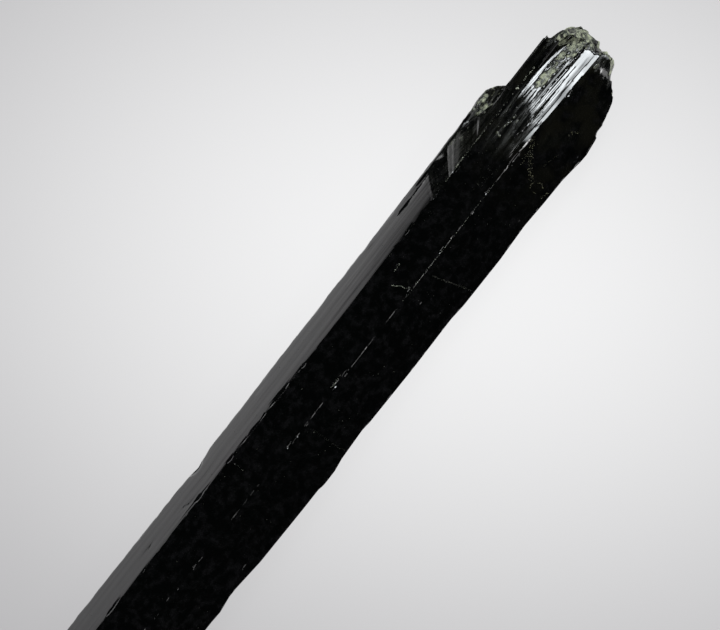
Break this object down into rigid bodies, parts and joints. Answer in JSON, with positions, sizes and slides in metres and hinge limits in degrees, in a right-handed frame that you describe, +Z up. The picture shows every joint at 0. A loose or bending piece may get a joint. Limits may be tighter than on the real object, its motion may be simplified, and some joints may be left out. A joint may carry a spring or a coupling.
{
  "type": "aegirine crystal",
  "caption": "Long black aegirine prism, slightly flattened, with a thinner crystal grown parallel along its left side, a fluted weathered tip and a broken base.",
  "frame": {"origin": "middle of the crystal's box, on the flat prism face that it lies on", "axes": "+X along the crystal to its weathered tip, +Y to the side that the thinner parallel crystal grew on, +Z up, away from the face it lies on"},
  "size_m": [0.1222, 0.0156, 0.0103],
  "materials": {
    "aegirine": "glassy black prism faces with a green cast, fine growth lines and small pale chips, and dull grey-green etched ends"
  },
  "bodies": {
    "root": {"aegirine_crystal": "aegirine"}
  },
  "joints": []
}
